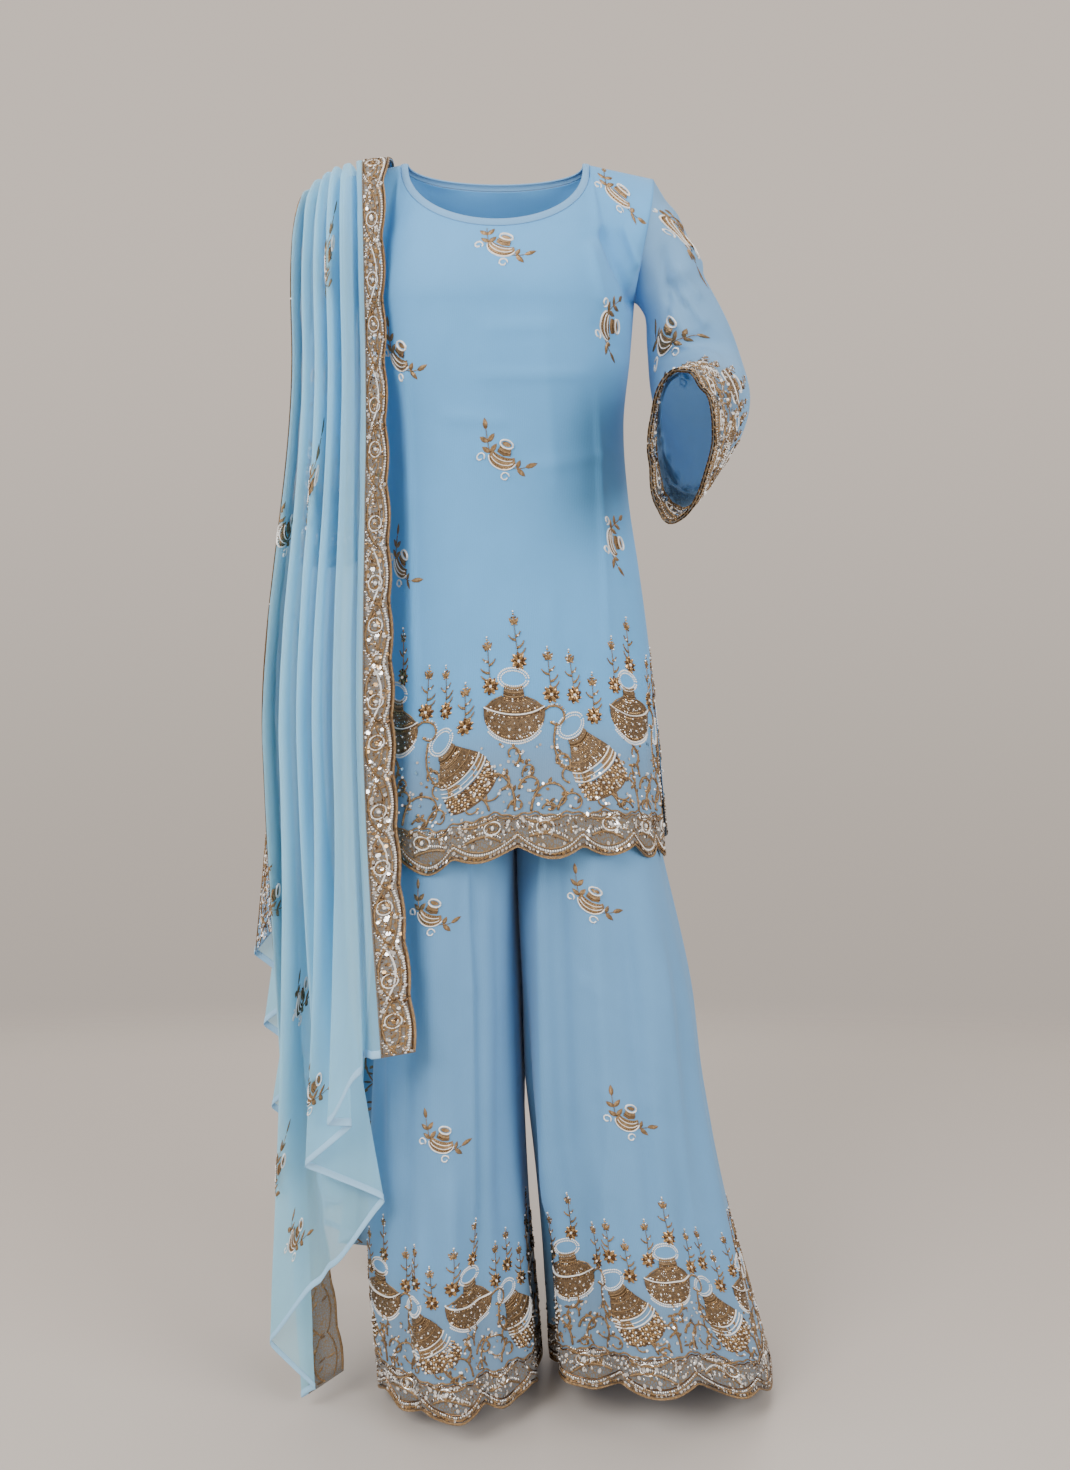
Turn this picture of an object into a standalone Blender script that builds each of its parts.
"""A suit of three garments in cloth: a straight tunic, wide trousers and a long scarf.

The scarf lies in pleats over the wearer's right shoulder. The front faces -Y and the
wearer's left is +X. The origin is between the tops of the shoulders.
"""
import math

import bpy
import bmesh
from mathutils import Vector

# Driving dimensions, metres
WALL = 0.0012
SEAM = 0.0003
ARMHOLE_GAP = 0.0008
ARMHOLE_ROWS = 7
UNDERARM_Z = -0.131
TUNIC_HEM_Z = -0.706
TUNIC_SCALLOP = 0.014
TUNIC_SCALLOPS = 8
SLIT_TOP_Z = -0.47
SLIT_SPREAD = 0.006
SHOULDER_TIP_X = 0.1675
SHOULDER_TIP_Z = -0.004
SHOULDER_SPAN = 0.2
NECK_TURN_SPAN = 0.10
NECK_HALF_WIDTH = 0.100
NECK_POINT_Z = 0.010
NECK_FRONT_DROP = 0.067
NECK_FRONT_REACH = 0.090
NECK_BACK_DROP = 0.022
NECK_BACK_REACH = 0.060
BINDING_WIDTH = 0.008
BINDING_GAP = 0.0007
WAISTBAND_TOP_Z = -0.325
WAISTBAND_BOTTOM_Z = -0.357
WAIST_CLEARANCE = 0.0008
TROUSER_CLEARANCE = 0.010
RISE_TOP_Z = -0.50
CROTCH_Z = -0.655
LEG_HEM_Z = -1.392
LEG_HEM_MIDDLE_Z = {
    "right front": -1.370, "right back": -1.388,
    "left front": -1.336, "left back": -1.388,
}
LEG_SCALLOP = 0.014
LEG_SCALLOPS = 5
CUFF_START = 0.86
CUFF_SCALLOP = 0.007
CUFF_SCALLOPS = 9
FALL_BUST_Z = -0.16
FALL_MID_Z = -0.60
FOLD_RADIUS = 0.0060
SHOULDER_SHARE = 0.30
SHOULDER_SQUARENESS = 2.5
BORDER_GAP = 0.0008

# Tunic sections, top to hem
TUNIC = [
    # z, centre x, half width, front depth, back depth
    (-0.131, 0.003, 0.146, 0.128, 0.092),
    (-0.190, 0.005, 0.140, 0.125, 0.088),
    (-0.260, 0.008, 0.131, 0.115, 0.088),
    (-0.340, 0.011, 0.134, 0.112, 0.105),
    (-0.420, 0.014, 0.1435, 0.115, 0.121),
    (-0.500, 0.017, 0.153, 0.119, 0.126),
    (-0.615, 0.021, 0.163, 0.124, 0.126),
    (-0.760, 0.025, 0.174, 0.131, 0.126),
]

# Trouser legs, crotch to hem
LEG_RIGHT = [
    # z, outer x, inner x, front y, back y
    (-0.500, -0.124, 0.0195, -0.102, 0.106),
    (-0.655, -0.126, 0.0195, -0.102, 0.098),
    (-0.800, -0.137, 0.0215, -0.112, 0.094),
    (-1.030, -0.152, 0.0280, -0.137, 0.082),
    (-1.210, -0.160, 0.0360, -0.156, 0.070),
    (-1.400, -0.148, 0.0500, -0.174, 0.062),
]
LEG_LEFT = [
    # z, outer x, inner x, front y, back y
    (-0.500, 0.154, 0.0225, -0.100, 0.106),
    (-0.655, 0.167, 0.0225, -0.098, 0.098),
    (-0.750, 0.190, 0.0235, -0.102, 0.096),
    (-0.900, 0.225, 0.0270, -0.121, 0.094),
    (-1.030, 0.243, 0.0310, -0.138, 0.090),
    (-1.210, 0.281, 0.0500, -0.158, 0.086),
    (-1.400, 0.334, 0.0600, -0.182, 0.086),
]

# Soft folds that grow towards a hem; the angle runs from the outer side over the front
TUNIC_FOLDS = [
    # panel, angle, half spread, height at the hem, where it starts
    ("front", 46.0, 12.0, 0.0060, -0.40),
    ("front", 90.0, 26.0, -0.0045, -0.45),
    ("front", 135.0, 12.0, 0.0065, -0.40),
    ("front", 158.0, 10.0, -0.0035, -0.45),
    ("front", 22.0, 9.0, -0.0035, -0.45),
    ("back", 40.0, 14.0, 0.0065, -0.40),
    ("back", 68.0, 14.0, -0.0045, -0.45),
    ("back", 96.0, 14.0, 0.0070, -0.40),
    ("back", 124.0, 14.0, -0.0045, -0.45),
    ("back", 150.0, 13.0, 0.0060, -0.40),
]
LEG_FOLDS = [
    # leg, angle, half spread, height at the hem, where it starts
    ("right front", 30.0, 15.0, 0.0080, -0.55),
    ("right front", 62.0, 14.0, -0.0070, -0.70),
    ("right front", 94.0, 12.0, 0.0080, -0.50),
    ("right front", 112.0, 10.0, -0.0075, -0.50),
    ("right front", 145.0, 15.0, 0.0080, -0.80),
    ("right back", 35.0, 16.0, 0.0090, -0.60),
    ("right back", 70.0, 16.0, -0.0090, -0.65),
    ("right back", 105.0, 16.0, 0.0090, -0.60),
    ("right back", 140.0, 16.0, -0.0080, -0.70),
    ("left front", 28.0, 14.0, 0.0080, -0.60),
    ("left front", 58.0, 14.0, -0.0090, -0.75),
    ("left front", 88.0, 15.0, 0.0070, -0.70),
    ("left front", 116.0, 13.0, -0.0070, -0.80),
    ("left front", 140.0, 12.0, 0.0140, -0.70),
    ("left front", 161.0, 10.0, -0.0190, -0.80),
    ("left back", 35.0, 16.0, 0.0100, -0.60),
    ("left back", 70.0, 16.0, -0.0100, -0.65),
    ("left back", 105.0, 16.0, 0.0100, -0.60),
    ("left back", 140.0, 16.0, -0.0080, -0.70),
]

# Sleeves as rings from the armhole to the cuff. Each ring has a centre, a vector to its
# outer side and a vector to its front.
SLEEVE_LEFT = [
    # share, centre x y z, outer x y z, front x y z
    (0.00, 0.158, 0.000, -0.067, 0.009, 0.000, 0.063, 0.000, -0.050, 0.000),
    (0.15, 0.175, 0.001, -0.091, 0.017, 0.000, 0.049, 0.000, -0.049, 0.000),
    (0.30, 0.1925, 0.002, -0.1265, 0.0295, 0.000, 0.0265, 0.000, -0.049, 0.000),
    (0.45, 0.207, 0.003, -0.167, 0.043, 0.000, 0.014, 0.000, -0.049, 0.010),
    (0.60, 0.218, 0.001, -0.216, 0.049, 0.000, 0.010, 0.000, -0.043, 0.038),
    (0.72, 0.222, -0.050, -0.246, 0.047, 0.000, 0.004, 0.000, -0.021, 0.058),
    (0.86, 0.206, -0.125, -0.257, 0.040, 0.002, 0.000, 0.000, -0.006, 0.066),
    (1.00, 0.185, -0.198, -0.268, 0.031, -0.006, 0.000, 0.004, 0.004, 0.074),
]
SLEEVE_RIGHT = [
    # share, centre x y z, outer x y z, front x y z
    (0.00, -0.158, 0.000, -0.067, -0.009, 0.000, 0.063, 0.000, -0.048, 0.000),
    (0.15, -0.166, 0.000, -0.0885, -0.014, 0.000, 0.0535, 0.000, -0.046, 0.000),
    (0.30, -0.1715, 0.000, -0.123, -0.0185, 0.000, 0.033, 0.000, -0.044, 0.000),
    (0.45, -0.177, 0.000, -0.180, -0.024, 0.000, 0.010, 0.000, -0.043, 0.000),
    (0.72, -0.1835, 0.000, -0.293, -0.0275, 0.000, 0.002, 0.000, -0.044, 0.000),
    (1.00, -0.1865, -0.002, -0.405, -0.0295, 0.000, 0.000, 0.000, -0.046, 0.000),
]

# The scarf's folds from its inner edge to its outer edge: O folds turn at the outer side,
# I folds turn back at the inner side
FOLD_SIDES = "IOIOOIOIOIOIOI"
CREST = [
    # where the folds lie over the shoulder
    # x, z
    (-0.112, 0.0165),
    (-0.146, 0.0135),
    (-0.147, 0.0020),
    (-0.153, 0.0120),
    (-0.158, 0.0110),
    (-0.1575, -0.0002),
    (-0.166, 0.0080),
    (-0.1655, -0.0024),
    (-0.174, 0.0030),
    (-0.1735, -0.0085),
    (-0.183, -0.0040),
    (-0.1810, -0.0160),
    (-0.193, -0.0140),
    (-0.1890, -0.0280),
]
FRONT_FALL = [
    # bust x y, middle x y, end x y z
    (-0.114, -0.094, -0.111, -0.114, -0.089, -0.160, -0.930),
    (-0.136, -0.105, -0.147, -0.136, -0.134, -0.168, -0.935),
    (-0.138, -0.080, -0.150, -0.092, -0.146, -0.152, -0.940),
    (-0.147, -0.114, -0.158, -0.142, -0.151, -0.174, -0.952),
    (-0.154, -0.115, -0.171, -0.144, -0.187, -0.172, -1.012),
    (-0.155, -0.073, -0.173, -0.062, -0.160, -0.160, -1.018),
    (-0.168, -0.116, -0.194, -0.142, -0.219, -0.152, -1.073),
    (-0.169, -0.069, -0.194, -0.058, -0.126, -0.139, -1.122),
    (-0.182, -0.111, -0.212, -0.137, -0.190, -0.136, -1.208),
    (-0.181, -0.063, -0.211, -0.060, -0.212, -0.128, -1.236),
    (-0.196, -0.104, -0.231, -0.131, -0.271, -0.125, -1.313),
    (-0.193, -0.062, -0.229, -0.062, -0.218, -0.112, -1.385),
    (-0.208, -0.090, -0.251, -0.112, -0.238, -0.100, -1.404),
    (-0.205, -0.060, -0.247, -0.066, -0.188, -0.088, -1.375),
]
BACK_FALL = [
    # bust x y, middle x y, end x y z
    (-0.113, 0.072, -0.125, 0.087, -0.170, 0.152, -1.352),
    (-0.137, 0.082, -0.150, 0.104, -0.222, 0.148, -1.345),
    (-0.140, 0.063, -0.155, 0.064, -0.196, 0.138, -1.330),
    (-0.148, 0.091, -0.166, 0.114, -0.236, 0.134, -1.310),
    (-0.156, 0.092, -0.178, 0.115, -0.262, 0.130, -1.290),
    (-0.156, 0.060, -0.180, 0.056, -0.205, 0.119, -1.270),
    (-0.170, 0.095, -0.202, 0.114, -0.292, 0.112, -1.252),
    (-0.171, 0.058, -0.203, 0.051, -0.215, 0.101, -1.190),
    (-0.184, 0.093, -0.225, 0.110, -0.297, 0.094, -1.120),
    (-0.183, 0.057, -0.226, 0.047, -0.225, 0.084, -1.060),
    (-0.199, 0.087, -0.249, 0.102, -0.299, 0.076, -1.000),
    (-0.196, 0.055, -0.249, 0.041, -0.240, 0.065, -0.950),
    (-0.212, 0.075, -0.272, 0.086, -0.302, 0.057, -0.900),
    (-0.208, 0.050, -0.270, 0.036, -0.273, 0.045, -0.862),
]

COLOURS = {
    "cloth_blue": (0.47, 0.63, 0.76, 1.0),
    "cloth_sheer": (0.52, 0.67, 0.79, 1.0),
    "cloth_border": (0.44, 0.40, 0.34, 1.0),
}


# Numbers and curves
def ease(share):
    """Rise smoothly from 0 to 1."""
    share = min(max(share, 0.0), 1.0)
    return share * share * (3.0 - 2.0 * share)


def read(table, key):
    """Values of a table at a key, on a smooth curve through its rows."""
    rows = sorted(table)
    key = min(max(key, rows[0][0]), rows[-1][0])
    place = 0
    while place < len(rows) - 2 and key > rows[place + 1][0]:
        place += 1
    low, high = rows[place], rows[place + 1]
    before = rows[max(place - 1, 0)]
    after = rows[min(place + 2, len(rows) - 1)]
    span = high[0] - low[0]
    t = (key - low[0]) / span
    values = []
    for column in range(1, len(low)):
        slope_low = (high[column] - before[column]) / (high[0] - before[0])
        slope_high = (after[column] - low[column]) / (after[0] - low[0])
        values.append(hermite(low[column], high[column], slope_low * span, slope_high * span, t))
    return values


def hermite(start, end, leave, arrive, t):
    """A cubic from start to end with the given end slopes."""
    t2 = t * t
    t3 = t2 * t
    return (start * (2 * t3 - 3 * t2 + 1) + leave * (t3 - 2 * t2 + t)
            + end * (3 * t2 - 2 * t3) + arrive * (t3 - t2))


def oval(angle, squareness=2.2):
    """Cosine and sine of a slightly squared circle."""
    c, s = math.cos(angle), math.sin(angle)
    power = 2.0 / squareness
    return math.copysign(abs(c) ** power, c), abs(s) ** power


def bump(offset, spread):
    """A rounded bump of height 1 and the given half spread."""
    if abs(offset) >= spread:
        return 0.0
    return 0.5 + 0.5 * math.cos(math.pi * offset / spread)


def fold_height(table, panel, angle, z, hem_z):
    """Height of the soft folds of a panel at an angle and a height."""
    total = 0.0
    for name, centre, spread, height, start in table:
        if name == panel:
            growth = ease((start - z) / (start - hem_z))
            total += height * growth * bump(math.degrees(angle) - centre, spread)
    return total


def scallop(angle, count):
    """Depth of a scalloped edge, 0 at its points and 1 at the middle of each scallop."""
    return abs(math.sin(angle * count))


# Tunic
def tunic_ring(angle, z, panel, inset=0.0):
    """Point of the tunic below the underarm; the angle runs from +X over the panel to -X."""
    centre, half, front, back = read(TUNIC, z)
    c, s = oval(angle)
    depth = front if panel == "front" else back
    side = -1.0 if panel == "front" else 1.0
    lift = fold_height(TUNIC_FOLDS, panel, angle, z, TUNIC_HEM_Z) - inset
    return Vector((centre + (half + lift) * c, side * (depth + lift) * s, z))


def tunic_hem_z(angle, panel):
    """Height of the scalloped tunic hem."""
    z = TUNIC_HEM_Z - TUNIC_SCALLOP * scallop(angle, TUNIC_SCALLOPS)
    degrees = math.degrees(angle)
    if panel == "front":
        z -= 0.024 * ease((degrees - 92.0) / 34.0)
        z -= 0.026 * ease((62.0 - degrees) / 55.0)
    else:
        z -= 0.020 * ease((50.0 - degrees) / 40.0)
    return z


def neckline(turn, panel):
    """Neck edge of a panel; turn runs from 90 degrees at +X to -90 degrees at -X."""
    drop, reach, side = NECK_FRONT_DROP, NECK_FRONT_REACH, -1.0
    if panel == "back":
        drop, reach, side = NECK_BACK_DROP, NECK_BACK_REACH, 1.0
    dip = max(math.cos(turn), 0.0) ** 0.9
    x = NECK_HALF_WIDTH * math.sin(turn) + 0.003 * dip
    return Vector((x, side * (0.5 * SEAM + reach * dip), NECK_POINT_Z - drop * dip))


def neck_inward(turn, panel):
    """The way the cloth heads at the neck edge."""
    dip = max(math.cos(turn), 0.0)
    if panel == "front":
        return Vector((-math.sin(turn), 0.50 * dip, 0.12 + 0.80 * dip))
    return Vector((-math.sin(turn), -0.30 * dip, 0.12 + 0.90 * dip))


def tunic_top(u, panel):
    """Top edge of a panel and how the cloth arrives there: shoulder, neck, shoulder."""
    side = -1.0 if panel == "front" else 1.0
    reach = min(u, 1.0 - u)
    if reach < SHOULDER_SPAN:
        share = reach / SHOULDER_SPAN
        x = SHOULDER_TIP_X + (NECK_HALF_WIDTH - SHOULDER_TIP_X) * share
        z = SHOULDER_TIP_Z + (NECK_POINT_Z - SHOULDER_TIP_Z) * share
        x = x if u < 0.5 else -x
        return Vector((x, side * 0.5 * SEAM, z)), Vector((0.0, -side, 0.25))
    turn = math.radians(90.0 - 180.0 * (u - SHOULDER_SPAN) / (1.0 - 2.0 * SHOULDER_SPAN))
    edge = neckline(turn, panel)
    turned = ease((reach - SHOULDER_SPAN) / NECK_TURN_SPAN)
    inward = neck_inward(turn, panel) * (0.45 if panel == "front" else 0.35)
    return edge, Vector((0.0, -side, 0.25)).lerp(inward, turned)


def tunic_upper(u, rise, panel):
    """Point of the tunic above the underarm; rise is 0 at the underarm and 1 at the top."""
    side = -1.0 if panel == "front" else 1.0
    base = tunic_ring(math.pi * u, UNDERARM_Z, panel)
    base.y += side * 0.5 * SEAM
    top, arrive = tunic_top(u, panel)
    armhole = 1.0 - ease(min(u, 1.0 - u) / SHOULDER_SPAN)
    bow = 0.21 if panel == "front" else 0.17
    leave = Vector((0.0, side * (0.02 + bow * armhole), 0.12 - 0.02 * armhole))
    arrive = arrive * (0.10 + 0.11 * armhole)
    if panel == "back":
        arrive = arrive * (0.85 if armhole else 1.0)
    point = Vector((0.0, 0.0, 0.0))
    for axis in range(3):
        point[axis] = hermite(base[axis], top[axis], leave[axis], arrive[axis], rise)
    return point


def tunic_point(u, v, panel, split):
    """Point of a tunic panel; v is 0 at the hem, split at the underarm and 1 at the top."""
    angle = math.pi * u
    side = -1.0 if panel == "front" else 1.0
    if v > split:
        return tunic_upper(u, (v - split) / (1.0 - split), panel)
    hem = tunic_hem_z(angle, panel)
    z = hem + (UNDERARM_Z - hem) * v / split
    point = tunic_ring(angle, z, panel)
    point.y += side * 0.5 * SEAM
    spread = ease((SLIT_TOP_Z - z) / (SLIT_TOP_Z - TUNIC_HEM_Z))
    edge = max(bump(math.degrees(angle), 24.0), bump(180.0 - math.degrees(angle), 24.0))
    if panel == "front":
        point.x -= math.copysign(SLIT_SPREAD, point.x) * spread * edge
        point.y -= 0.6 * SLIT_SPREAD * spread * edge
    else:
        point.y += 0.3 * SLIT_SPREAD * spread * edge
    return point


# Sleeves
def armhole(turn, side):
    """Armhole of the tunic; turn runs from the shoulder down the front and up the back."""
    u = 0.0 if side > 0 else 1.0
    panel, rise = ("front", 1.0 - 2.0 * turn) if turn <= 0.5 else ("back", 2.0 * turn - 1.0)
    row = min(int(rise * ARMHOLE_ROWS + 0.001), ARMHOLE_ROWS - 1)
    low = tunic_upper(u, row / ARMHOLE_ROWS, panel)
    high = tunic_upper(u, (row + 1) / ARMHOLE_ROWS, panel)
    point = low.lerp(high, rise * ARMHOLE_ROWS - row)
    point.x += side * ARMHOLE_GAP
    return point


def sleeve_point(turn, share, table, side):
    """Point of a sleeve; share is 0 at the armhole and 1 at the cuff."""
    values = read(table, share)
    centre = Vector(values[0:3])
    outer = Vector(values[3:6])
    front = Vector(values[6:9])
    angle = 2.0 * math.pi * turn
    wave = 1.0 + 0.05 * math.sin(3.0 * angle + 0.6) * ease((share - 0.35) / 0.5)
    tube = centre + (outer * math.cos(angle) + front * math.sin(angle)) * wave
    if share > CUFF_START:
        near, far = Vector(read(table, CUFF_START)[0:3]), Vector(read(table, 1.0)[0:3])
        reach = CUFF_SCALLOP * abs(math.sin(0.5 * CUFF_SCALLOPS * angle))
        tube += (far - near).normalized() * reach * (share - CUFF_START) / (1.0 - CUFF_START)
    start = armhole(turn % 1.0, side)
    return start.lerp(tube, ease(share / 0.17))


# Trousers
def leg_hem_z(angle, leg, panel):
    """Height of a trouser hem: the front hangs higher than the back."""
    middle_z = LEG_HEM_MIDDLE_Z[leg + " " + panel]
    lift = math.sin(angle)
    if leg == "left" and panel == "front":
        lift *= ease((math.degrees(angle) - 15.0) / 60.0)
    if leg == "right" and panel == "front":
        lift = math.sin(math.pi * (angle / math.pi) ** 1.4)
    base = LEG_HEM_Z + (middle_z - LEG_HEM_Z) * lift
    return base - LEG_SCALLOP * scallop(angle, LEG_SCALLOPS)


def hip_point(angle, z, leg, panel):
    """Point of the trousers above the rise; the angle runs from the side to the centre."""
    sign = 1.0 if leg == "left" else -1.0
    centre, half, front, back = read(TUNIC, z)
    ease_in = ease((WAISTBAND_BOTTOM_Z - z) / 0.06)
    inset = WALL + WAIST_CLEARANCE + (TROUSER_CLEARANCE - WALL) * ease_in
    c, s = oval(angle)
    depth = front if panel == "front" else back
    side = -1.0 if panel == "front" else 1.0
    x = centre + sign * (0.5 * SEAM + (half - inset) * c)
    return Vector((x, side * (0.5 * SEAM + (depth - inset) * s), z))


def leg_point(angle, z, leg, panel):
    """Point of a trouser leg; the angle runs from the outer side to the inner side."""
    table = LEG_LEFT if leg == "left" else LEG_RIGHT
    outer, inner, front, back = read(table, z)
    c, s = oval(angle)
    side = -1.0 if panel == "front" else 1.0
    sign = 1.0 if leg == "left" else -1.0
    depth = -front if panel == "front" else back
    lift = fold_height(LEG_FOLDS, leg + " " + panel, angle, z, -1.38)
    centre, half = 0.5 * (outer + inner), 0.5 * abs(outer - inner)
    x = centre + sign * (half + lift) * c
    return Vector((x, side * (0.5 * SEAM + (depth + lift) * s), z))


def trouser_point(u, v, leg, panel):
    """Point of a trouser panel; u runs from the side to the inner edge, v from hem to waist."""
    angle = math.pi * u
    hem = leg_hem_z(angle, leg, panel)
    z = hem + (WAISTBAND_BOTTOM_Z - SEAM - hem) * v
    upper = hip_point(0.5 * angle, max(z, CROTCH_Z), leg, panel)
    lower = leg_point(angle, min(z, RISE_TOP_Z), leg, panel)
    point = upper.lerp(lower, ease((RISE_TOP_Z - z) / (RISE_TOP_Z - CROTCH_Z)))
    point.z = z
    return point


def waistband_point(turn, rise):
    """Point of the waistband, close inside the tunic."""
    z = WAISTBAND_BOTTOM_Z + (WAISTBAND_TOP_Z - WAISTBAND_BOTTOM_Z) * rise
    angle = 2.0 * math.pi * turn
    panel = "front" if angle <= math.pi else "back"
    around = angle if panel == "front" else 2.0 * math.pi - angle
    centre, half, front, back = read(TUNIC, z)
    c, s = oval(around)
    inset = WALL + WAIST_CLEARANCE
    depth = front if panel == "front" else back
    side = -1.0 if panel == "front" else 1.0
    return Vector((centre + (half - inset) * c, side * (depth - inset) * s, z))


# Neck binding
def binding_point(turn, rise):
    """Point of the narrow band round the neck; it carries on from the panels' neck edge."""
    angle = 2.0 * math.pi * turn
    panel = "front" if angle <= math.pi else "back"
    local = 0.5 * math.pi - angle if panel == "front" else angle - 1.5 * math.pi
    edge = neckline(local, panel)
    if abs(math.cos(local)) < 0.001:
        edge.y = 0.0
    return edge + neck_inward(local, panel).normalized() * (BINDING_GAP + BINDING_WIDTH * rise)


# Scarf
def fold_points(share, table, side):
    """The folds' places at a share of the fall: 0 over the shoulder, 1 at the end."""
    points = []
    for (crest_x, crest_z), row in zip(CREST, table):
        bust_x, bust_y, mid_x, mid_y, end_x, end_y, end_z = row
        if share < SHOULDER_SHARE:
            down, out = oval(0.5 * math.pi * share / SHOULDER_SHARE, SHOULDER_SQUARENESS)
            x = crest_x + (bust_x - crest_x) * out
            y = bust_y * out
            z = FALL_BUST_Z + (crest_z - FALL_BUST_Z) * down
        else:
            hang = (share - SHOULDER_SHARE) / (1.0 - SHOULDER_SHARE)
            z = FALL_BUST_Z + (end_z - FALL_BUST_Z) * hang
            t = ease((FALL_BUST_Z - z) / (FALL_BUST_Z - FALL_MID_Z))
            x = bust_x + (mid_x - bust_x) * t
            y = bust_y + (mid_y - bust_y) * t
            t = max(FALL_MID_Z - z, 0.0) / (FALL_MID_Z - end_z)
            t = t * t * (1.6 - 0.6 * t)
            x += (end_x - mid_x) * t
            y += (end_y - mid_y) * t
        points.append(Vector((x, y + side * 0.5 * SEAM, z)))
    return points


def next_alike(place, step):
    """The next fold on the same side of the pleats, or the place itself at an edge."""
    there = place + 2 * step
    while 0 < there < len(FOLD_SIDES) - 1 and FOLD_SIDES[there] != FOLD_SIDES[place]:
        there += step
    return there if 0 < there < len(FOLD_SIDES) - 1 else place


def fold_controls(points):
    """Two control points for each fold, a fold's width apart, and one for each edge."""
    controls = [points[0]]
    for place in range(1, len(points) - 1):
        before, after = next_alike(place, -1), next_alike(place, 1)
        across = points[after] - points[before]
        across.z = 0.0
        spacing = across.length / ((after > place) + (before < place))
        across = across.normalized() * min(FOLD_RADIUS, 0.25 * spacing)
        controls.append(points[place] - across)
        controls.append(points[place] + across)
    controls.append(points[-1])
    return controls


def spline(controls, t):
    """Point of a smooth curve that starts and ends on its end controls; t from 0 to 1."""
    first = controls[0] * 2.0 - controls[1]
    last = controls[-1] * 2.0 - controls[-2]
    padded = [first] + controls + [last]
    spans = len(controls) - 1
    place = min(int(t * spans), spans - 1)
    t = t * spans - place
    a, b, c, d = padded[place:place + 4]
    return (a * (1.0 - t) ** 3 + b * (3 * t ** 3 - 6 * t ** 2 + 4)
            + c * (-3 * t ** 3 + 3 * t ** 2 + 3 * t + 1) + d * t ** 3) / 6.0


def scarf_point(across, share, table, side):
    """Point of the scarf; across is 0 at the inner edge and 1 at the outer edge."""
    return spline(fold_controls(fold_points(share, table, side)), across)


def border_point(u, v, table, side, edge, joint):
    """Point of a border strip, from the scarf's long edge to its first fold."""
    point = scarf_point(edge + (joint - edge) * u, v, table, side)
    beyond = scarf_point(joint + (joint - edge) * 0.05, v, table, side)
    last = scarf_point(joint, v, table, side)
    return point - (beyond - last).normalized() * BORDER_GAP * u * u


# Meshes
def cloth(name, place, columns, rows, closed=False, centred=False, seams=(), flip=False):
    """A wall of cloth over place(u, v); seams name edges whose walls end square to an axis."""
    count = columns if closed else columns + 1
    grid = [[place(i / columns, j / rows) for i in range(count)] for j in range(rows + 1)]
    normals = grid_normals(grid, closed)
    if flip:
        normals = [[-n for n in row] for row in normals]
    for edge, axis, first, last, lean in seams:
        square_edge(normals, edge, axis, first, last, lean)
    bm = bmesh.new()
    out = 0.5 * WALL if centred else 0.0
    layers = []
    for shift in (out, out - WALL):
        layers.append([[bm.verts.new(grid[j][i] + normals[j][i] * shift) for i in range(count)]
                       for j in range(rows + 1)])
    top, under = layers
    for j in range(rows):
        for i in range(columns):
            k = (i + 1) % count
            rising = (grid[j][i] - grid[j + 1][k]).length < (grid[j][k] - grid[j + 1][i]).length
            for layer in (top, under):
                a, b, c, d = layer[j][i], layer[j][k], layer[j + 1][k], layer[j + 1][i]
                bm.faces.new((a, b, c) if rising else (a, b, d))
                bm.faces.new((a, c, d) if rising else (b, c, d))
    for j in (0, rows):
        for i in range(columns):
            k = (i + 1) % count
            bm.faces.new((top[j][i], under[j][i], under[j][k], top[j][k]))
    if not closed:
        for i in (0, columns):
            for j in range(rows):
                bm.faces.new((top[j][i], top[j + 1][i], under[j + 1][i], under[j][i]))
    bmesh.ops.recalc_face_normals(bm, faces=bm.faces)
    for face in bm.faces:
        face.smooth = True
    mesh = bpy.data.meshes.new(name)
    bm.to_mesh(mesh)
    bm.free()
    piece = bpy.data.objects.new(name, mesh)
    COLLECTION.objects.link(piece)
    return piece


def grid_normals(grid, closed):
    """Normal of each point of a grid, from the cells on both sides of it."""
    rows, count = len(grid), len(grid[0])
    normals = []
    for j in range(rows):
        line = []
        for i in range(count):
            here = grid[j][i]
            up = grid[min(j + 1, rows - 1)][i] - grid[max(j - 1, 0)][i]
            normal = Vector((0.0, 0.0, 0.0))
            if closed or i > 0:
                normal += up.cross(here - grid[j][i - 1]).normalized()
            if closed or i < count - 1:
                normal += up.cross(grid[j][(i + 1) % count] - here).normalized()
            line.append(normal.normalized())
        normals.append(line)
    return normals


def square_edge(normals, edge, axis, first, last, lean):
    """Take one axis out of the normals along an edge, so two walls meet square.

    A lean of 1 or -1 takes it out only where the normal leans that way.
    """
    if edge in ("start", "end"):
        line = [row[0 if edge == "start" else -1] for row in normals]
    else:
        line = normals[0 if edge == "bottom" else -1]
    steps = len(line) - 1
    for normal in line[round(first * steps):round(last * steps) + 1]:
        if lean == 0 or normal[axis] * lean > 0:
            normal[axis] = 0.0
            normal.normalize()


def paint(piece, colour):
    """Give a piece its own plain material."""
    material = bpy.data.materials.new("mat_" + piece.name)
    material.use_nodes = True
    shader = material.node_tree.nodes["Principled BSDF"]
    shader.inputs["Base Color"].default_value = COLOURS[colour]
    shader.inputs["Roughness"].default_value = 0.75
    piece.data.materials.append(material)


# Build
for old in list(bpy.data.objects):
    bpy.data.objects.remove(old)
COLLECTION = bpy.data.collections.new("salwar_kameez")
bpy.context.scene.collection.children.link(COLLECTION)

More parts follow.
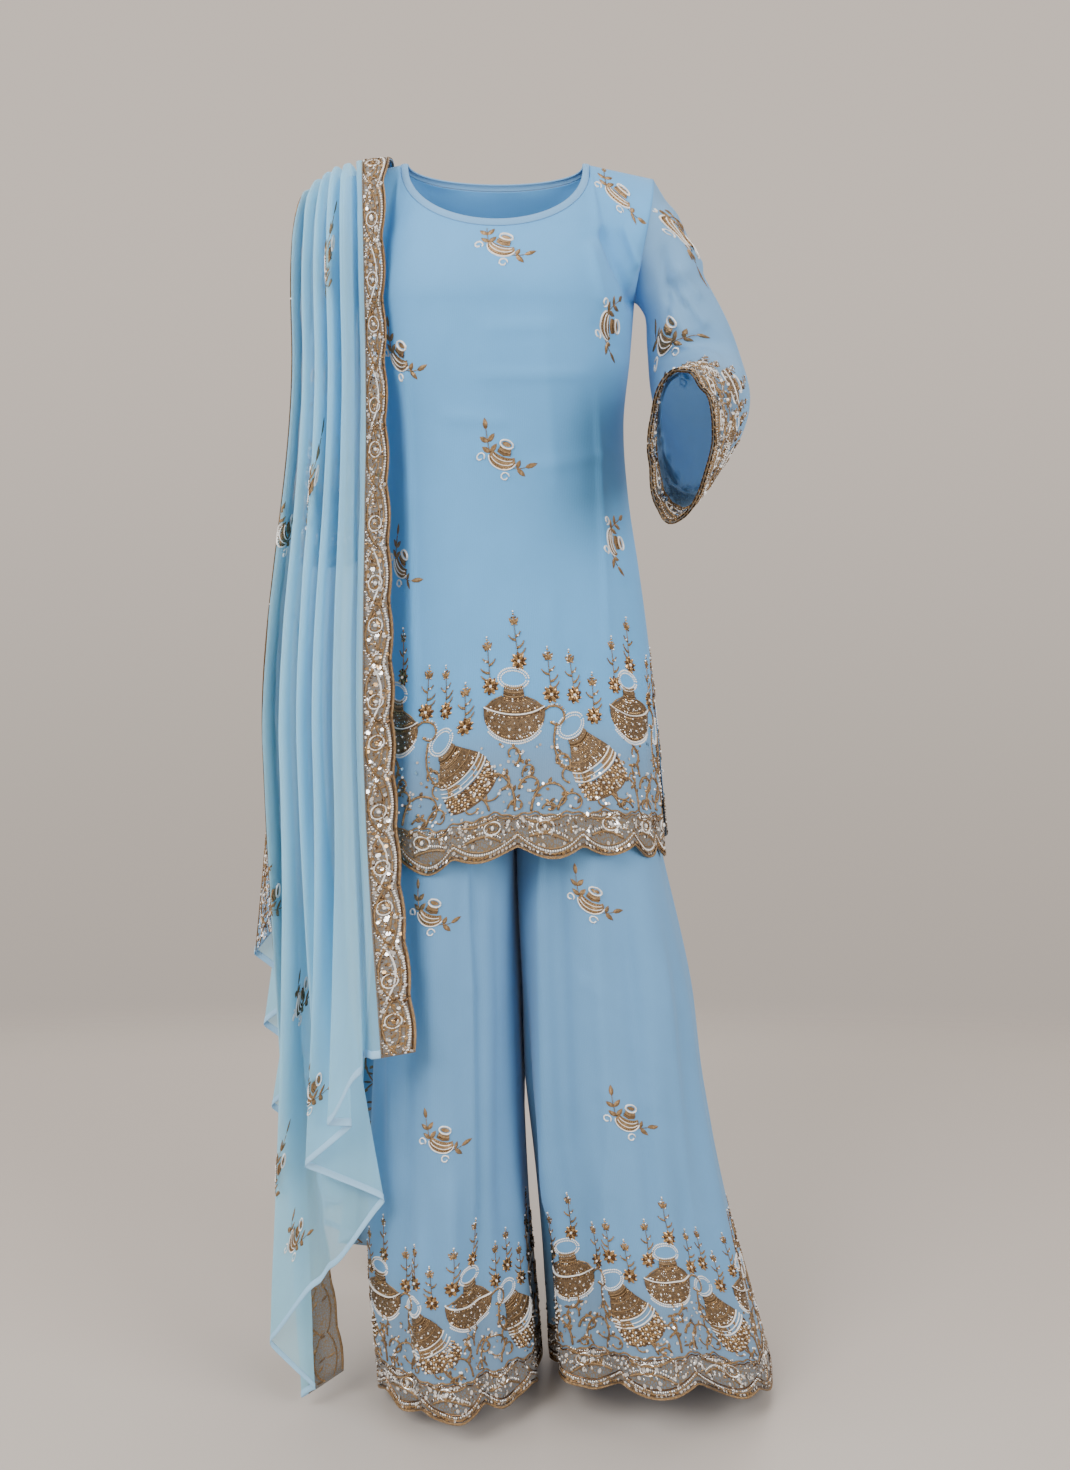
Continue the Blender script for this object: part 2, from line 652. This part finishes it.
for panel, below, turned in (("front", 9, False), ("back", 7, True)):
    split = below / (below + ARMHOLE_ROWS)
    seams = [("start", 1, 0.0, split, 0), ("end", 1, 0.0, split, 0),
             ("start", 0, split, 1.0, -1), ("end", 0, split, 1.0, 1),
             ("top", 1, 0.0, SHOULDER_SPAN, 0), ("top", 1, 1.0 - SHOULDER_SPAN, 1.0, 0)]
    piece = cloth("kameez_" + panel, lambda u, v: tunic_point(u, v, panel, split),
                  5 * TUNIC_SCALLOPS, below + ARMHOLE_ROWS, seams=seams, flip=turned)
    paint(piece, "cloth_blue")

for name, table, side, rows in (("left", SLEEVE_LEFT, 1.0, 11), ("right", SLEEVE_RIGHT, -1.0, 7)):
    piece = cloth("sleeve_" + name, lambda u, v: sleeve_point(u, v, table, side),
                  4 * ARMHOLE_ROWS, rows, closed=True, flip=side > 0,
                  seams=[("bottom", 0, 0.0, 1.0, side)])
    paint(piece, "cloth_sheer")

binding = cloth("neck_binding", binding_point, 48, 1, closed=True)
waistband = cloth("waistband", waistband_point, 40, 1, closed=True)
paint(binding, "cloth_blue")
paint(waistband, "cloth_blue")

for leg in ("left", "right"):
    for panel in ("front", "back"):
        turned = (leg == "left") == (panel == "back")
        leg_seams = [("start", 1, 0.0, 1.0, 0), ("end", 1, 0.0, 0.6, 0)]
        piece = cloth("trouser_" + leg + "_" + panel,
                      lambda u, v: trouser_point(u, v, leg, panel), 20, 10,
                      seams=leg_seams, flip=turned)
        paint(piece, "cloth_blue")

FOLD_SPANS = 2 * len(CREST) - 3
EDGE = 1.1 / FOLD_SPANS
crest_seam = [("bottom", 1, 0.0, 1.0, 0)]
for name, table, side, rows in (("front", FRONT_FALL, -1.0, 13), ("back", BACK_FALL, 1.0, 12)):
    sheet = cloth("dupatta_" + name,
                  lambda u, v: scarf_point(EDGE + (1.0 - 2.0 * EDGE) * u, v, table, side),
                  46, rows, centred=True, seams=crest_seam)
    strip = cloth("dupatta_border_" + name,
                  lambda u, v: border_point(u, v, table, side, 0.0, EDGE), 3, rows,
                  centred=True, seams=crest_seam)
    far = cloth("dupatta_outer_border_" + name,
                lambda u, v: border_point(u, v, table, side, 1.0, 1.0 - EDGE), 3, rows,
                centred=True, seams=crest_seam)
    paint(sheet, "cloth_sheer")
    paint(strip, "cloth_border")
    paint(far, "cloth_border")
